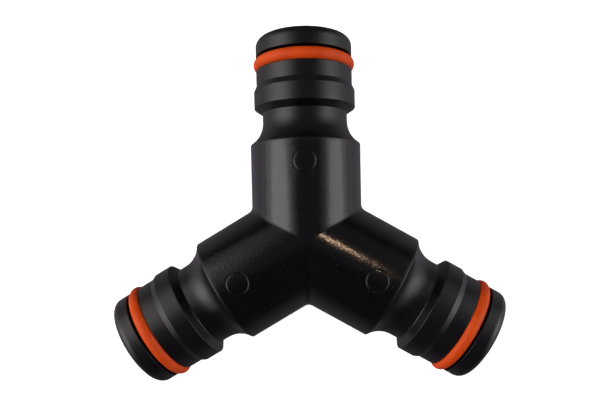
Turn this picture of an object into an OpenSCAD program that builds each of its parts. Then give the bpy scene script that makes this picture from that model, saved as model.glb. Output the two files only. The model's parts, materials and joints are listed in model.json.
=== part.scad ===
// Three-way push-on coupler for half-inch garden hose fittings.
// Three equal arms leave one hub at 120 degrees in the XY plane, each ending in a grooved nipple with an O-ring.
// Origin: where the three port axes cross.  +Y: the top arm.  +Z: the face with the ejector marks.

/* [Arms] */
// Diameter of the three round barrels that meet at the hub
barrel_d = 19.2; // [18.4:0.1:21]
// Distance from the hub centre to where the barrel meets the flare, before that edge is rounded
barrel_reach = 16.8; // [15:0.1:17.4]
// Radius of the fine round on the barrel's shoulder edge
shoulder_round = 0.3; // [0.1:0.05:0.5]
// Radius of the hollow flare between the shoulder and the latch neck
flare_r = 4.75; // [4:0.05:5]
// Diameter of the latch neck, which the socket's claws close on
neck_d = 14.75; // [14:0.05:15.2]

/* [Nipple] */
// Distance from the hub centre to the end of the latch neck
neck_reach = 22.2; // [21.8:0.1:22.6]
// Diameter of the retaining collar
collar_d = 17.6; // [17:0.1:18]
// Length of the collar's steep hub-side chamfer
collar_ramp = 0.95; // [0.5:0.05:1.2]
// Length of the collar's full-diameter land
collar_land = 2.85; // [2:0.05:3.2]
// Length of the collar's shallow chamfer towards the port
collar_lead = 0.95; // [0.5:0.05:1.2]
// Diameter of the sealing nose, on both sides of the O-ring
nose_d = 16.7; // [16:0.05:16.9]
// Distance from the hub centre to the port's end face
port_reach = 35.2; // [35:0.1:36.5]
// Radius of the round on the end of the nose
nose_round = 1.5; // [0.5:0.1:2]

/* [Seal] */
// Distance from the hub centre to the hub-side wall of the O-ring groove
groove_start = 29.55; // [28.5:0.05:29.8]
// Width of the O-ring groove
groove_w = 2.45; // [2.3:0.05:2.8]
// Outer diameter of the fitted O-ring
ring_od = 17.6; // [17.4:0.05:17.8]
// Thickness of the O-ring's round section
ring_section = 2.1; // [1.9:0.05:2.2]

/* [Water way] */
// Diameter of the three straight bores that meet in the hub
bore_d = 9.6; // [8:0.1:10]
// Chamfer on the mouth of each bore
mouth_chamfer = 0.4; // [0.2:0.05:0.6]

/* [Ejector marks] */
// Distance from the hub centre to each mark along its arm
mark_reach = 13.1; // [12:0.1:14]
// Outer diameter of the thin round line
mark_d = 3.8; // [3:0.1:4.5]
// Width of the line
mark_line = 0.16; // [0.1:0.02:0.3]
// Depth of the line below the crest of the barrel
mark_depth = 0.1; // [0.04:0.02:0.2]

/* [Hidden] */
$fn = 96;

// Direction of each arm in the XY plane, in degrees from +X
top_arm = 90;
left_arm = 210;
right_arm = 330;
arms = [top_arm, left_arm, right_arm];

// Clearance that keeps each O-ring off its groove
ring_gap = 0.02;
// How far a cutter runs past the face that it cuts
over = 1;
// How deep the flare cuts into the shoulder's round
shoulder_bite = 0.002;

barrel_r = barrel_d / 2;
neck_r = neck_d / 2;
collar_r = collar_d / 2;
nose_r = nose_d / 2;
bore_r = bore_d / 2;
mark_r = mark_d / 2;
ring_section_r = ring_section / 2;
// Radius of the circle that the middle of the ring's section follows
ring_path_r = ring_od / 2 - ring_section_r;
groove_floor_r = ring_path_r - ring_section_r - ring_gap;
// Stations along an arm, measured from the hub centre
flare_axis_r = neck_r + flare_r;
flare_centre = barrel_reach + sqrt(pow(flare_r, 2) - pow(flare_axis_r - barrel_r, 2));
// Centre of the shoulder's round, placed so that the flare just cuts into it
edge_r = barrel_r - shoulder_round;
edge_gap = flare_r + shoulder_round - shoulder_bite;
edge_reach = flare_centre - sqrt(pow(edge_gap, 2) - pow(flare_axis_r - edge_r, 2));
// Radius at which the round and the flare meet
meet_r = edge_r + shoulder_round * (flare_axis_r - edge_r) / edge_gap;
collar_start = neck_reach + collar_ramp;
collar_end = collar_start + collar_land;
nose_start = collar_end + collar_lead;
ring_station = groove_start + ring_gap + ring_section_r;
// Half angle of each arm's wedge: neighbours meet at 60 degrees, and the rest is overlap
wedge_angle = 70;
// Far side of the wedge, beyond the port
wedge_reach = port_reach + 2 * over;

// Half section of the barrel, its finely rounded shoulder edge and the hollow flare down to the neck
module barrel_section() {
  difference() {
    union() {
      translate([0, -over]) square([barrel_r, edge_reach + over]);
      translate([edge_r, edge_reach]) circle(r = shoulder_round);
      square([meet_r, flare_centre]);
    }
    translate([flare_axis_r, flare_centre]) circle(r = flare_r);
  }
}

// Half section of the neck, the retaining collar and the sealing nose
module nipple_section() {
  square([neck_r, port_reach - nose_round]);
  polygon([
    [0, neck_reach],
    [neck_r, neck_reach],
    [collar_r, collar_start],
    [collar_r, collar_end],
    [nose_r, nose_start],
    [0, nose_start]
  ]);
  translate([0, nose_start]) square([nose_r, port_reach - nose_round - nose_start]);
  translate([0, nose_start]) square([nose_r - nose_round, port_reach - nose_start]);
  translate([nose_r - nose_round, port_reach - nose_round]) circle(r = nose_round);
}

// Outline of one arm, revolved about its port axis
module arm_section() {
  barrel_section();
  nipple_section();
}

// Solid half section of the space that the O-ring groove takes out of the nose
module groove_section() {
  translate([groove_floor_r, groove_start]) square([nose_r, groove_w]);
}

// Straight water way with a small chamfer at its mouth
module water_way() {
  translate([0, 0, -2 * over]) cylinder(h = port_reach + 3 * over, r = bore_r);
  translate([0, 0, port_reach - mouth_chamfer])
    cylinder(h = mouth_chamfer + over, r1 = bore_r, r2 = bore_r + mouth_chamfer + over);
}

// Thin round line left by an ejector pin, of even depth over the crest of the barrel
module ejector_mark() {
  difference() {
    translate([mark_reach, 0, barrel_r - over]) difference() {
      cylinder(h = 2 * over, r = mark_r);
      cylinder(h = 2 * over, r = mark_r - mark_line);
    }
    rotate([0, 90, 0]) cylinder(h = barrel_reach, r = barrel_r - mark_depth);
  }
}

// Wedge about an arm along +X, with its edge at the hub centre, wide enough to overlap both neighbours
module wedge() {
  linear_extrude(height = 2 * barrel_d, center = true) polygon([
    [0, 0],
    [wedge_reach, -wedge_reach * tan(wedge_angle)],
    [wedge_reach, wedge_reach * tan(wedge_angle)]
  ]);
}

// Keeps the part of a shape about +Z that lies in the wedge, and turns it to lie along +X
module in_wedge() {
  intersection() {
    rotate([0, 90, 0]) children();
    wedge();
  }
}

// One moulding: three barrels and nipples around one hub, with the water ways open to each other
module body() {
  color([0.09, 0.09, 0.095]) difference() {
    union() {
      for (angle = arms) rotate([0, 0, angle]) in_wedge() rotate_extrude() arm_section();
    }
    for (angle = arms) rotate([0, 0, angle]) {
      in_wedge() water_way();
      rotate([0, 90, 0]) rotate_extrude() groove_section();
      ejector_mark();
    }
  }
}

// Rubber ring with a round section, seated against the hub-side wall of its groove
module o_ring(angle) {
  color([0.74, 0.27, 0.11]) rotate([0, 0, angle]) translate([ring_station, 0, 0])
    rotate([0, 90, 0]) rotate_extrude() translate([ring_path_r, 0]) circle(r = ring_section_r);
}

module o_ring_top() { o_ring(top_arm); }
module o_ring_left() { o_ring(left_arm); }
module o_ring_right() { o_ring(right_arm); }

body();
o_ring_top();
o_ring_left();
o_ring_right();
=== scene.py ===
import json
import math

import bmesh
import bpy
import numpy as np
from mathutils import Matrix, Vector


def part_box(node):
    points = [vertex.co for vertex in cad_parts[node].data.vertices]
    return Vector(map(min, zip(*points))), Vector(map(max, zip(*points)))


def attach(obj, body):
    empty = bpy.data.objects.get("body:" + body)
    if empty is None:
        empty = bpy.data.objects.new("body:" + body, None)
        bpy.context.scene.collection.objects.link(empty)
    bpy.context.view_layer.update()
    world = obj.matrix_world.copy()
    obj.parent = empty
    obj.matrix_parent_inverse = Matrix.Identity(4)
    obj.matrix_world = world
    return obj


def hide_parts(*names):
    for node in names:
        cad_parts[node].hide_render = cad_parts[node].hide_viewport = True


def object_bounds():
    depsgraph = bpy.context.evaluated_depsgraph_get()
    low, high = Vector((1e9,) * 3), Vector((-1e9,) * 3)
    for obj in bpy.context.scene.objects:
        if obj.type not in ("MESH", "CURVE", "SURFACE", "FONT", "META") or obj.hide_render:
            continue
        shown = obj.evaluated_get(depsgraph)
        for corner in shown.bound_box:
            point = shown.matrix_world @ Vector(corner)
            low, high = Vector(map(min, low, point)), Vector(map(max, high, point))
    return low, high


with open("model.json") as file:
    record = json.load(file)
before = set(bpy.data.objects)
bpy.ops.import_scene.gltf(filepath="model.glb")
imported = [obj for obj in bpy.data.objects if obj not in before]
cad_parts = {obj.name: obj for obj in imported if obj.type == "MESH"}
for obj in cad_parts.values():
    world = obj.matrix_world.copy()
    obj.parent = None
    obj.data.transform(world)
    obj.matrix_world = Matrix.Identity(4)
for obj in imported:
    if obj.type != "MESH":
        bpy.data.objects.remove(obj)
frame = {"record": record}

cad_low, cad_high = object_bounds()

MM = 0.001  # the part's sizes are in millimetres, and Blender's unit is the metre
TINY = 1e-9  # keeps a divisor off zero
SLACK = 0.01  # room for rounding where rows and columns are picked
UP = np.array([0, 0, 1])

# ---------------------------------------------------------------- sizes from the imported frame
MOUNTS = {m["name"]: m for m in frame["record"]["mounts"]}
ARMS = {"top": 90.0, "left": 210.0, "right": 330.0}  # direction of each arm, in degrees from +X


def box_mm(node):
    """Lowest and highest corner of a CAD node, in millimetres."""
    low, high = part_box(node)
    return np.array(low) / MM, np.array(high) / MM


def reach_mm(mount):
    """Distance of a mount's point from the hub centre, in millimetres."""
    return float(np.linalg.norm(MOUNTS[mount]["pos_m"])) / MM


_, BODY_HIGH = box_mm("body")
RING_LOW, RING_HIGH = box_mm("o_ring_top")
BARREL_R = float(BODY_HIGH[2])
PORT_REACH = float(BODY_HIGH[1])
BORE_R = MOUNTS["top_port"]["dims"]["r_mm"]
COLLAR_R = MOUNTS["top_collar"]["dims"]["r_mm"]
COLLAR_LAND = MOUNTS["top_collar"]["dims"]["length_mm"]
COLLAR_START = reach_mm("top_collar") - COLLAR_LAND / 2
COLLAR_END = COLLAR_START + COLLAR_LAND
RING_OUT_R = float(RING_HIGH[0])
RING_SECTION_R = float(RING_HIGH[1] - RING_LOW[1]) / 2
RING_STATION = float(RING_HIGH[1] + RING_LOW[1]) / 2

# ---------------------------------------------------------------- other sizes, as in the CAD source
BARREL_REACH = 16.8
SHOULDER_ROUND = 0.3
FLARE_R = 4.75
NECK_R = 7.375
COLLAR_RAMP = 0.95
COLLAR_LEAD = 0.95
NOSE_R = 8.35
NOSE_ROUND = 1.5
GROOVE_START = 29.55
GROOVE_W = 2.45
RING_GAP = 0.02
GROOVE_FLOOR_R = RING_OUT_R - 2 * RING_SECTION_R - RING_GAP
MOUTH_CHAMFER = 0.4

# Fine rounds on the nipple's edges and corners
NECK_FILLET = 0.25
COLLAR_EDGE = 0.12
COLLAR_LEAD_EDGE = 0.2
NOSE_FILLET = 0.3
GROOVE_EDGE = 0.08
GROOVE_FILLET = 0.1
PORT_EDGE = 0.1
MOUTH_EDGE = 0.15

# ---------------------------------------------------------------- ejector marks and parting line
MARK_REACH = 13.1
MARK_R = 1.9
MARK_LINE = 0.16
MARK_DEPTH = 0.04  # shallower than the CAD's
MARK_WALL = ((0.04, 0.0), (-0.01, 0.15), (-0.04, 0.8), (-0.06, 1.0))  # step outwards, and share of the depth
MARK_RIM = 0.25  # plain ring kept outside the line
MARK_DISC = (1.3, 0.85, 0.42)  # radii of the rings of points inside it
MARK_WINDOW = 2.5  # half the length of the patch of barrel that holds a mark
MARK_SPREAD = 15.0  # half its width, in degrees round the barrel
RIDGE = 0.03  # height of the parting line
RIDGE_FOOT = 0.2  # share of that height in the columns beside it
RIDGE_COLUMNS = (0.3, 0.6)  # where the extra columns beside it are, in degrees

# ---------------------------------------------------------------- the body's grid
MITRE = math.radians(60)  # between an arm and the plane where it meets its neighbour
CREASE_R = 1.3  # blend between neighbouring barrels
COLUMNS = 168  # steps round each arm
HUB_ROWS = 18  # steps from the mitre to the plain barrel
HUB_CROWDING = 1.6  # draws those rows in towards the mitre
HUB_REACH = 8.6  # where the plain barrel starts
HUB_PASSES = 40  # rounds of the search for the mitre's blended radius
ROW_STEP = 0.5  # between rows along the plain barrel
BARREL_SUPPORT = 0.3  # least distance from the last of those rows to the shoulder's edge
SHOULDER_SUPPORT = 0.2  # from it to one more row
BORE_SUPPORT = 0.3  # from the mouth's round to the first row of the bore
BORE_ROWS = 12
SHOULDER_STEPS, FLARE_STEPS, NOSE_STEPS = 5, 18, 12  # along the outline's arcs
SECTION_STEPS = 32  # round a ring's section
SEAM_WELD = 0.0002  # reach of the weld along the mitres
GRAIN_END = 0.2  # from the end of the barrel's grain to the flare
GRAIN_FADE = 0.4  # length over which it fades out


# ---------------------------------------------------------------- outline of one arm
def arc(centre, radius, start, end, steps):
    """Points (z, r) on an arc, angles in degrees from the arm's direction towards its outside."""
    turns = np.radians(np.linspace(start, end, steps + 1))
    return [(centre[0] + radius * math.cos(t), centre[1] + radius * math.sin(t)) for t in turns]


def rounded(corners, steps=4):
    """Points (z, r) along straight lines whose corners, (z, r, radius), are rounded."""
    points = [corners[0][:2]]
    for before, corner, after in zip(corners, corners[1:], corners[2:]):
        here = np.array(corner[:2])
        into = np.array(before[:2]) - here
        away = np.array(after[:2]) - here
        into /= np.linalg.norm(into)
        away /= np.linalg.norm(away)
        half = math.acos(float(np.clip(into @ away, -1, 1))) / 2
        swept = math.pi - 2 * half
        cut = corner[2] / math.tan(half)
        first, last = here + into * cut, here + away * cut
        middle = here + (into + away) / np.linalg.norm(into + away) * corner[2] / math.sin(half)
        for share in np.linspace(0, 1, steps + 1):
            spoke = (first - middle) * math.sin((1 - share) * swept)
            spoke = spoke + (last - middle) * math.sin(share * swept)
            points.append(tuple(middle + spoke / np.linalg.norm(spoke) * corner[2]))
    points.append(corners[-1][:2])
    return points


def with_support(points, edge=0.05, longest=0.7):
    """Adds a row just inside each end of every long straight stretch, and even rows along it."""
    out = [points[0]]
    for a, b in zip(points, points[1:]):
        a, b = np.array(a), np.array(b)
        length = float(np.linalg.norm(b - a))
        if length > 4 * edge:
            inner = np.linspace(edge, length - edge, max(2, math.ceil(length / longest)))
            out += [tuple(a + (b - a) * s / length) for s in inner]
        out.append(tuple(b))
    return out


def barrel_rows():
    """Rows (z, r) along the plain barrel, round the shoulder's edge and down the hollow flare to the neck."""
    flare_r = NECK_R + FLARE_R
    flare_z = BARREL_REACH + math.sqrt(FLARE_R**2 - (flare_r - BARREL_R) ** 2)
    edge_r = BARREL_R - SHOULDER_ROUND
    edge_z = flare_z - math.sqrt((FLARE_R + SHOULDER_ROUND) ** 2 - (flare_r - edge_r) ** 2)
    meet = math.degrees(math.atan2(flare_r - edge_r, flare_z - edge_z))
    barrel = [(z, BARREL_R) for z in np.arange(HUB_REACH, edge_z - BARREL_SUPPORT, ROW_STEP)]
    barrel.append((barrel[-1][0] + SHOULDER_SUPPORT, BARREL_R))
    shoulder = arc((edge_z, edge_r), SHOULDER_ROUND, 90, meet, SHOULDER_STEPS)
    flare = arc((flare_z, flare_r), FLARE_R, 180 + meet, 270, FLARE_STEPS)
    return barrel + shoulder + flare[1:]


def nipple_rows(start):
    """Rows (z, r) from the end of the flare along the neck, the collar and the nose, and in at the port."""
    nose_end = PORT_REACH - NOSE_ROUND
    groove_end = GROOVE_START + GROOVE_W
    nipple = rounded([
        (*start, 0),
        (COLLAR_START - COLLAR_RAMP, NECK_R, NECK_FILLET),
        (COLLAR_START, COLLAR_R, COLLAR_EDGE),
        (COLLAR_END, COLLAR_R, COLLAR_LEAD_EDGE),
        (COLLAR_END + COLLAR_LEAD, NOSE_R, NOSE_FILLET),
        (GROOVE_START, NOSE_R, GROOVE_EDGE),
        (GROOVE_START, GROOVE_FLOOR_R, GROOVE_FILLET),
        (groove_end, GROOVE_FLOOR_R, GROOVE_FILLET),
        (groove_end, NOSE_R, GROOVE_EDGE),
        (nose_end, NOSE_R, 0),
    ])
    nose = arc((nose_end, NOSE_R - NOSE_ROUND), NOSE_ROUND, 90, 0, NOSE_STEPS)
    mouth = rounded([
        (PORT_REACH, NOSE_R - NOSE_ROUND, 0),
        (PORT_REACH, BORE_R + MOUTH_CHAMFER, PORT_EDGE),
        (PORT_REACH - MOUTH_CHAMFER, BORE_R, MOUTH_EDGE),
        (HUB_REACH, BORE_R, 0),
    ])
    return with_support([start] + nipple[1:-1] + nose + mouth[1:-1])[1:]


# ---------------------------------------------------------------- the hub
def column_angles():
    """Angles round an arm, with close pairs of columns beside the parting line on both flanks."""
    even = np.arange(COLUMNS) * 2 * math.pi / COLUMNS
    close = np.radians(RIDGE_COLUMNS)
    extra = np.concatenate([side + sign * close for side in (0, math.pi) for sign in (1, -1)])
    return np.sort(np.concatenate([even, extra % (2 * math.pi)]))


def parting_line():
    """Height of the parting line at each column: a crest on both flanks, and a low foot beside it."""
    flank = np.degrees(np.abs(np.sin(PHI)))
    crest = flank < RIDGE_COLUMNS[0] / 2
    foot = flank < sum(RIDGE_COLUMNS) / 2
    return np.where(crest, RIDGE, np.where(foot, RIDGE * RIDGE_FOOT, 0))


PHI = column_angles()  # radians, with 0 and pi on the flanks and pi / 2 at the front
PARTING = parting_line()


def arm_axes(angle):
    """Direction along an arm, and the direction to its side in the XY plane."""
    turn = math.radians(angle)
    return np.array([math.cos(turn), math.sin(turn), 0]), np.array([-math.sin(turn), math.cos(turn), 0])


def round_arm(angle, z, r, phi):
    """Points at stations z and radii r, at angles phi round an arm."""
    along, side = arm_axes(angle)
    flat = z[..., None] * along + (r * np.cos(phi))[..., None] * side
    return flat + (r * np.sin(phi))[..., None] * UP


def crease_swell(z, side, up):
    """How far the blend between two barrels lifts the surface at points round one arm's barrel."""
    next_side = math.sin(MITRE) * z + math.cos(MITRE) * side
    to_own, to_next = np.hypot(side, up), np.hypot(next_side, up)
    facing = (math.cos(MITRE) * next_side * side + up * up) / (to_own * to_next)
    width = 4 * CREASE_R * (1 - np.sqrt((1 + np.clip(facing, -1, 1)) / 2)) + TINY
    return np.maximum(width - np.abs(to_next - to_own), 0) ** 2 / (4 * width)


def hub_rows(radius, shares, blend):
    """Rows (z, r) at every column, from the mitre between two arms, share 0, to the plain barrel, share 1."""
    cos_phi, sin_phi = np.abs(np.cos(PHI)), np.sin(PHI)
    rows = []
    for share in shares:
        r = radius
        for _ in range(HUB_PASSES):
            mitre = r * cos_phi / math.tan(MITRE)
            z = mitre + (HUB_REACH - mitre) * share
            if blend:
                r = radius + crease_swell(z, r * cos_phi, r * sin_phi)
        rows.append((z, r))
    return rows


# ---------------------------------------------------------------- the pieces
def mark_patch(angle, number, rows_z, base):
    """Points and faces that put a round ejector line in a window of the barrel's grid, and that window."""
    rows = [k for k, z in enumerate(rows_z) if abs(z - MARK_REACH) < MARK_WINDOW + SLACK]
    turned = np.degrees(PHI) - 90
    columns = [k for k, t in enumerate(turned) if abs(t) < MARK_SPREAD + SLACK]
    top, bottom, first, last = rows[0], rows[-1], columns[0], columns[-1]
    loop = [(top, c) for c in range(first, last)] + [(r, last) for r in range(top, bottom)]
    loop += [(bottom, c) for c in range(last, first, -1)] + [(r, first) for r in range(bottom, top, -1)]
    turns = np.array([math.atan2(BARREL_R * math.cos(PHI[c]), rows_z[r] - MARK_REACH) for r, c in loop])
    inner = MARK_R - MARK_LINE
    profile = [(MARK_R + MARK_RIM, 0)] + [(MARK_R + step, share) for step, share in MARK_WALL]
    profile += [(inner - step, share) for step, share in reversed(MARK_WALL)]
    profile += [(radius, 0) for radius in MARK_DISC]
    along, side = arm_axes(angle)
    points = []
    for radius, share in profile:
        z, x = MARK_REACH + radius * np.cos(turns), radius * np.sin(turns)
        up = np.sqrt(BARREL_R**2 - x**2) - MARK_DEPTH * share
        points.append(z[:, None] * along + x[:, None] * side + up[:, None] * UP)
    points.append((MARK_REACH * along + BARREL_R * UP)[None, :])
    count = len(loop)
    rings = [np.array([number[r, c] for r, c in loop])]
    rings += [base + k * count + np.arange(count) for k in range(len(profile))]
    faces = []
    for outside, inside in zip(rings, rings[1:]):
        faces += np.stack([inside, np.roll(inside, -1), np.roll(outside, -1), outside], axis=-1).tolist()
    centre = base + len(profile) * count
    faces += [[centre, int(b), int(a)] for a, b in zip(rings[-1], np.roll(rings[-1], -1))]
    return np.concatenate(points), faces, (slice(top, bottom), slice(first, last))


def smooth_mesh(name, points, faces):
    """A smoothly shaded mesh of points in metres."""
    mesh = bpy.data.meshes.new(name)
    mesh.from_pydata(points, [], faces)
    mesh.polygons.foreach_set("use_smooth", np.ones(len(mesh.polygons), bool))
    return mesh


def weld_arms(mesh):
    """Joins the arms along their mitres and takes out the points that the marks' windows left over."""
    work = bmesh.new()
    work.from_mesh(mesh)
    near = [v for v in work.verts if math.hypot(v.co.x, v.co.y) < (HUB_REACH + BARREL_R) * MM]
    bmesh.ops.remove_doubles(work, verts=near, dist=SEAM_WELD * MM)
    bmesh.ops.delete(work, geom=[v for v in work.verts if not v.link_faces], context="VERTS")
    bmesh.ops.recalc_face_normals(work, faces=work.faces)
    work.to_mesh(mesh)
    work.free()


def body_mesh():
    """One moulding: three arms, each a grid of rows and columns, welded along the mitres."""
    plain = np.full(len(PHI), 1.0)
    shares = (np.arange(HUB_ROWS) / HUB_ROWS) ** HUB_CROWDING
    barrel = barrel_rows()
    nipple = nipple_rows(barrel[-1])
    bore = [(z, BORE_R) for z in np.linspace(nipple[-1][0] - BORE_SUPPORT, HUB_REACH, BORE_ROWS)]
    rows = hub_rows(BARREL_R + PARTING, shares, True)
    rows += [(z * plain, r + PARTING) for z, r in barrel]
    rows += [(z * plain, r * plain) for z, r in nipple + bore]
    rows += hub_rows(BORE_R * plain, shares[::-1], False)
    z, r = np.array([row[0] for row in rows]), np.array([row[1] for row in rows])
    neck_row = HUB_ROWS + len(barrel)
    rows_z = [float(row.mean()) if HUB_ROWS <= k < neck_row else -1.0 for k, row in enumerate(z)]
    grained = np.clip((BARREL_REACH - GRAIN_END - z) / GRAIN_FADE, 0, 1)
    grained[neck_row:] = 0
    points, faces, grain = [], [], []
    total = 0
    for angle in ARMS.values():
        number = total + np.arange(z.size).reshape(z.shape)
        total += number.size
        patch, patch_faces, window = mark_patch(angle, number, rows_z, total)
        total += len(patch)
        points += [round_arm(angle, z, r, PHI).reshape(-1, 3), patch]
        grain += [grained.reshape(-1), np.ones(len(patch))]
        beside = np.roll(number, -1, axis=1)
        quads = np.stack([number[:-1], beside[:-1], beside[1:], number[1:]], axis=-1)
        keep = np.ones(quads.shape[:2], bool)
        keep[window] = False
        faces += quads[keep].tolist() + patch_faces
    mesh = smooth_mesh("body_shell", (np.concatenate(points) * MM).tolist(), faces)
    mesh.attributes.new("grain", "FLOAT", "POINT").data.foreach_set("value", np.concatenate(grain))
    weld_arms(mesh)
    return mesh


def ring_mesh(name, angle):
    """A rubber ring with a round section, round one arm."""
    around = np.arange(COLUMNS) * 2 * math.pi / COLUMNS
    section = (np.arange(SECTION_STEPS) * 2 * math.pi / SECTION_STEPS)[:, None]
    r = (RING_OUT_R - RING_SECTION_R) + RING_SECTION_R * np.cos(section)
    z = np.repeat(RING_STATION + RING_SECTION_R * np.sin(section), COLUMNS, axis=1)
    number = np.arange(z.size).reshape(z.shape)
    over, beside = np.roll(number, -1, axis=0), np.roll(number, -1, axis=1)
    both = np.roll(over, -1, axis=1)
    quads = np.stack([number, beside, both, over], axis=-1).reshape(-1, 4)
    points = round_arm(angle, z, r, around).reshape(-1, 3) * MM
    return smooth_mesh(name, points.tolist(), quads.tolist())


def piece(name, mesh, node, material):
    """A visible piece that stands for one CAD node."""
    made = bpy.data.objects.new(name, mesh)
    bpy.context.scene.collection.objects.link(made)
    mesh.materials.append(material)
    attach(made, "root")
    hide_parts(node)


# ---------------------------------------------------------------- materials
class Graph:
    """Short calls for the nodes of one material or world. A value is a number, a colour or another socket."""

    def __init__(self, owner):
        owner.use_nodes = True
        self.tree = owner.node_tree

    def put(self, socket, value):
        """Sets a socket, or links it."""
        if isinstance(value, bpy.types.NodeSocket):
            self.tree.links.new(value, socket)
        else:
            socket.default_value = value

    def coordinates(self, kind):
        """Object or generated coordinates."""
        return self.tree.nodes.new("ShaderNodeTexCoord").outputs[kind]

    def noise(self, scale, detail, roughness=0.5):
        """Noise of 0 to 1 through the object, with about scale waves to the metre."""
        node = self.tree.nodes.new("ShaderNodeTexNoise")
        self.put(node.inputs["Vector"], self.coordinates("Object"))
        self.put(node.inputs["Scale"], scale)
        self.put(node.inputs["Detail"], detail)
        self.put(node.inputs["Roughness"], roughness)
        return node.outputs["Fac"]

    def remap(self, value, low, high, to_low, to_high):
        """A value carried from one range to another, and held inside it."""
        node = self.tree.nodes.new("ShaderNodeMapRange")
        node.clamp = True
        ranges = {"Value": value, "From Min": low, "From Max": high, "To Min": to_low, "To Max": to_high}
        for name, given in ranges.items():
            self.put(node.inputs[name], given)
        return node.outputs["Result"]

    def maths(self, operation, *values):
        """One arithmetic step."""
        node = self.tree.nodes.new("ShaderNodeMath")
        node.operation = operation
        for socket, value in zip(node.inputs, values):
            self.put(socket, value)
        return node.outputs["Value"]

    def mixed(self, share, first, second):
        """A colour between two colours."""
        node = self.tree.nodes.new("ShaderNodeMix")
        node.data_type = "RGBA"
        colours = [socket for socket in node.inputs if socket.type == "RGBA"]
        for socket, value in zip([node.inputs["Factor"]] + colours, (share, first, second)):
            self.put(socket, value)
        return next(socket for socket in node.outputs if socket.type == "RGBA")

    def bumped(self, height, distance, before=None):
        """A normal disturbed by a height of 0 to 1 over a distance in metres."""
        node = self.tree.nodes.new("ShaderNodeBump")
        self.put(node.inputs["Distance"], distance)
        self.put(node.inputs["Height"], height)
        if before is not None:
            self.put(node.inputs["Normal"], before)
        return node.outputs["Normal"]


def new_material(name):
    """A material with its graph and its shader."""
    material = bpy.data.materials.new(name)
    graph = Graph(material)
    return material, graph, graph.tree.nodes["Principled BSDF"]


def body_plastic():
    """Black moulded plastic: grained and glossier on the barrels, satin on the nipples, with sparse dust."""
    deep_black, soft_black = (0.0014, 0.0010, 0.0017, 1), (0.0026, 0.0019, 0.0030, 1)
    grain_tip, dust = (0.006, 0.0058, 0.0056, 1), (0.05, 0.047, 0.044, 1)
    material, graph, shader = new_material("body_plastic")
    attribute = graph.tree.nodes.new("ShaderNodeAttribute")
    attribute.attribute_name = "grain"
    grained = attribute.outputs["Fac"]
    fine = graph.noise(scale=3000, detail=1.0, roughness=0.4)
    coarse = graph.noise(scale=420, detail=3.0)
    broad = graph.noise(scale=60, detail=2.0)
    speck = graph.remap(graph.noise(scale=2800, detail=0.0), 0.82, 0.86, 0.0, 1.0)
    colour = graph.mixed(broad, deep_black, soft_black)
    colour = graph.mixed(graph.remap(fine, 0.55, 0.75, 0.0, 0.5), colour, grain_tip)
    colour = graph.mixed(graph.maths("MULTIPLY", speck, 0.5), colour, dust)
    graph.put(shader.inputs["Base Color"], colour)
    glossy = graph.maths("MULTIPLY_ADD", fine, 0.12, graph.remap(coarse, 0.3, 0.7, 0.09, 0.14))
    satin = graph.remap(coarse, 0.3, 0.7, 0.30, 0.38)
    graph.put(shader.inputs["Roughness"], graph.remap(grained, 0.0, 1.0, satin, glossy))
    shader.inputs["IOR"].default_value = 1.5
    depth = graph.remap(grained, 0.0, 1.0, 0.35, 1.0)
    normal = graph.bumped(graph.maths("MULTIPLY", fine, depth), distance=1.6e-5)
    graph.put(shader.inputs["Normal"], graph.bumped(coarse, distance=1.5e-5, before=normal))
    return material


def seal_rubber():
    """Orange-red rubber: satin, finely pitted and a little uneven in colour."""
    red, orange = (0.76, 0.066, 0.004, 1), (0.90, 0.098, 0.007, 1)
    material, graph, shader = new_material("seal_rubber")
    pits = graph.noise(scale=3000, detail=3.0, roughness=0.6)
    drift = graph.noise(scale=260, detail=3.0)
    colour = graph.mixed(graph.remap(drift, 0.3, 0.7, 0.0, 1.0), red, orange)
    graph.put(shader.inputs["Base Color"], colour)
    graph.put(shader.inputs["Roughness"], graph.remap(pits, 0.3, 0.7, 0.42, 0.56))
    shader.inputs["IOR"].default_value = 1.45
    shader.inputs["Specular IOR Level"].default_value = 0.25
    normal = graph.bumped(pits, distance=1.5e-5)
    graph.put(shader.inputs["Normal"], graph.bumped(drift, distance=3e-5, before=normal))
    return material


def floor_white():
    """Plain white that glows softly."""
    material, _, shader = new_material("floor_white")
    shader.inputs["Base Color"].default_value = (0.9, 0.9, 0.9, 1)
    shader.inputs["Roughness"].default_value = 0.8
    shader.inputs["Emission Color"].default_value = (1, 1, 1, 1)
    shader.inputs["Emission Strength"].default_value = 0.9
    return material


piece("body_shell", body_mesh(), "body", body_plastic())
rubber = seal_rubber()
for arm_name, arm_angle in ARMS.items():
    ring = ring_mesh("ring_" + arm_name, arm_angle)
    piece("ring_" + arm_name, ring, "o_ring_" + arm_name, rubber)


# ---------------------------------------------------------------- floor, lights and camera
FLOOR_RINGS = (0.3, 0.8)  # radii of the floor's inner rings of points, in metres
FLOOR_REACH, FLOOR_BEND, WALL_HEIGHT = 1.3, 0.6, 2.4  # metres
FLOOR_STEPS = 96  # round the floor
BEND_STEPS = 12  # up its bend into the wall

CAMERA_AT = (0.001954, 0.001412, 0.104027)  # metres
CAMERA_TURN = (-2.168, 1.197, -1.222)  # degrees
CAMERA_LENS, CAMERA_SENSOR = 35.225, 36  # millimetres
CAMERA_SHIFT = (-0.0101, 0.0842)
CAMERA_CLIP = (0.005, 20)  # metres

LIGHT_AWAY = 0.6  # metres from the hub, or from the lamp's aim, to each light
WARM, PLAIN = (1.0, 0.97, 0.93), (0.97, 0.98, 1.0)
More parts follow.
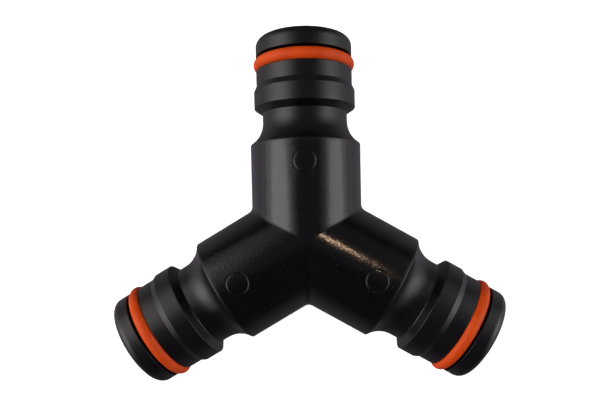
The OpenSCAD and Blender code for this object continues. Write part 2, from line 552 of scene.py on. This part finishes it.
# Name, degrees round from +X, degrees up from the table, width and height in degrees as seen from the hub,
# radiance and colour
SOFT_BOXES = (
    ("box_left_core", 181, 34, 38, 40, 1.9, WARM),
    ("box_left_middle", 180, 31, 78, 60, 1.05, WARM),
    ("box_left_edge", 178, 28, 96, 84, 0.40, WARM),
    ("box_right_core", 0, 25, 36, 34, 1.6, PLAIN),
    ("box_right_middle", 0, 23, 68, 52, 0.85, PLAIN),
    ("box_right_edge", 357, 20, 92, 80, 0.32, PLAIN),
    ("box_top", 90, 55, 100, 80, 0.07, PLAIN),
)
LAMP_AIM = (5.6, -0.8, 9.2)  # on the right barrel's upper side
LAMP_TOWARDS = (0.236, 0.357, 0.904)  # from there to the lamp
LAMP_COLOUR = (1.0, 0.66, 0.42)
LAMP_POWER = 1.05  # watts
LAMP_BEAM = 2.6  # degrees
LAMP_FADE = 0.9  # share of the beam that fades towards its edge
LAMP_SIZE = 0.004  # metres
SURROUND = (1.0, 0.9, 1.04, 1)
SURROUND_FAINT = 0.05  # strength above the horizon
SURROUND_BELOW = 0.05  # added below the horizon
SURROUND_SIDES = 0.45  # added there towards either side


def floor():
    """Wide pale table top that sweeps up into a wall. It stays out of glossy and diffuse reflections."""
    low = float(cad_low[2])
    bend = np.radians(np.linspace(-90, 0, BEND_STEPS + 1))
    side = [(r, low) for r in FLOOR_RINGS]
    side += [(FLOOR_REACH + FLOOR_BEND * math.cos(a), low + FLOOR_BEND * (1 + math.sin(a))) for a in bend]
    side.append((FLOOR_REACH + FLOOR_BEND, low + WALL_HEIGHT))
    turns = np.arange(FLOOR_STEPS) * 2 * math.pi / FLOOR_STEPS
    points = [(0.0, 0.0, low)] + [(r * math.cos(t), r * math.sin(t), z) for r, z in side for t in turns]
    steps = np.arange(FLOOR_STEPS)
    after = np.roll(steps, -1)
    faces = [(0, int(a), int(b)) for a, b in zip(1 + steps, 1 + after)]
    for row in range(len(side) - 1):
        near = 1 + row * FLOOR_STEPS
        far = near + FLOOR_STEPS
        faces += np.stack([near + steps, far + steps, far + after, near + after], axis=-1).tolist()
    mesh = smooth_mesh("floor", points, faces)
    mesh.materials.append(floor_white())
    made = bpy.data.objects.new("floor", mesh)
    bpy.context.scene.collection.objects.link(made)
    made.visible_glossy = False
    made.visible_diffuse = False


def camera():
    """Camera at the front, a little off the hub, with its lens shifted to centre the part."""
    data = bpy.data.cameras.new("camera")
    data.sensor_width = CAMERA_SENSOR
    data.lens = CAMERA_LENS
    data.shift_x, data.shift_y = CAMERA_SHIFT
    data.clip_start, data.clip_end = CAMERA_CLIP
    made = bpy.data.objects.new("camera", data)
    made.location = CAMERA_AT
    made.rotation_euler = [math.radians(turn) for turn in CAMERA_TURN]
    bpy.context.scene.collection.objects.link(made)
    bpy.context.scene.camera = made


def hang(name, data, aim, towards):
    """Puts a light at its distance from a point, and turns it to face the point."""
    made = bpy.data.objects.new(name, data)
    made.location = aim + towards * LIGHT_AWAY
    made.rotation_euler = towards.to_track_quat("Z", "Y").to_euler()
    bpy.context.scene.collection.objects.link(made)


def soft_box(name, turn, rise, width, height, radiance, colour):
    """Oval light aimed at the hub."""
    data = bpy.data.lights.new(name, "AREA")
    data.shape = "ELLIPSE"
    data.size = 2 * LIGHT_AWAY * math.tan(math.radians(width / 2))
    data.size_y = 2 * LIGHT_AWAY * math.tan(math.radians(height / 2))
    data.energy = radiance * math.pi * data.size * data.size_y * math.pi / 4
    data.color = colour
    turn, rise = math.radians(turn), math.radians(rise)
    towards = Vector((math.cos(rise) * math.cos(turn), math.cos(rise) * math.sin(turn), math.sin(rise)))
    hang(name, data, Vector((0, 0, 0)), towards)


def warm_lamp():
    """Small warm lamp with a narrow beam on the right barrel, which leaves a fine streak along it."""
    data = bpy.data.lights.new("lamp_warm", "SPOT")
    data.shadow_soft_size = LAMP_SIZE
    data.spot_size = math.radians(LAMP_BEAM)
    data.spot_blend = LAMP_FADE
    data.energy = LAMP_POWER
    data.color = LAMP_COLOUR
    hang("lamp_warm", data, Vector(LAMP_AIM) * MM, Vector(LAMP_TOWARDS).normalized())


def surround():
    """Faint surround that is brighter below the horizon, most of all to either side."""
    world = bpy.data.worlds.new("studio")
    bpy.context.scene.world = world
    graph = Graph(world)
    parts = graph.tree.nodes.new("ShaderNodeSeparateXYZ")
    graph.put(parts.inputs["Vector"], graph.coordinates("Generated"))
    sideways = graph.maths("MULTIPLY", parts.outputs["X"], parts.outputs["X"])
    low = graph.remap(parts.outputs["Z"], -0.35, 0.1, 1.0, 0.0)
    glow = graph.maths("MULTIPLY_ADD", sideways, SURROUND_SIDES, SURROUND_BELOW)
    background = graph.tree.nodes["Background"]
    background.inputs["Color"].default_value = SURROUND
    graph.put(background.inputs["Strength"], graph.maths("MULTIPLY_ADD", low, glow, SURROUND_FAINT))


floor()
camera()
for box in SOFT_BOXES:
    soft_box(*box)
warm_lamp()
surround()
bpy.context.scene.view_settings.view_transform = "Standard"
